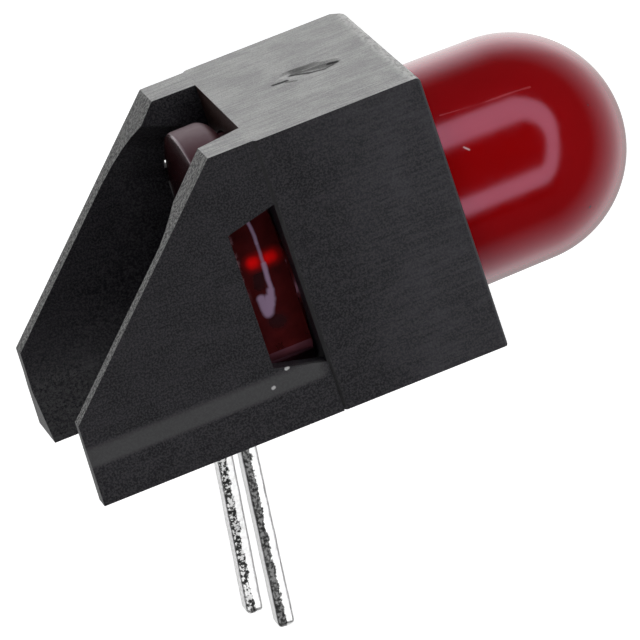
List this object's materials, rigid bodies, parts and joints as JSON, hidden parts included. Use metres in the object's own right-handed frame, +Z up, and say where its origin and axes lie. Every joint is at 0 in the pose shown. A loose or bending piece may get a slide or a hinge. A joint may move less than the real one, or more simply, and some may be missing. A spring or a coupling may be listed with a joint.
{
  "type": "right-angle through-hole led indicator",
  "caption": "Round red LED held in a black right-angle housing that stands on a circuit board, with its leads bent down through the board.",
  "frame": {"origin": "midway between the two leads, where they pass through the board's top face", "axes": "+X along the LED's axis towards its dome, +Y towards the longer lead, +Z up from the board"},
  "size_m": [0.0134, 0.0064, 0.0112],
  "materials": {
    "black_nylon": "moulded, slightly shiny",
    "red_resin": "glossy, tinted and diffused",
    "tinned_metal": "solder dipped, mottled",
    "chip": "sawn crystal",
    "silver_cement": "cured cement",
    "gold_wire": "drawn"
  },
  "bodies": {
    "root": {"housing": "black_nylon", "lens": "red_resin", "anode_lead": "tinned_metal", "cathode_lead": "tinned_metal", "led_chip": "chip", "die_attach": "silver_cement", "bond_wire": "gold_wire"}
  },
  "joints": []
}
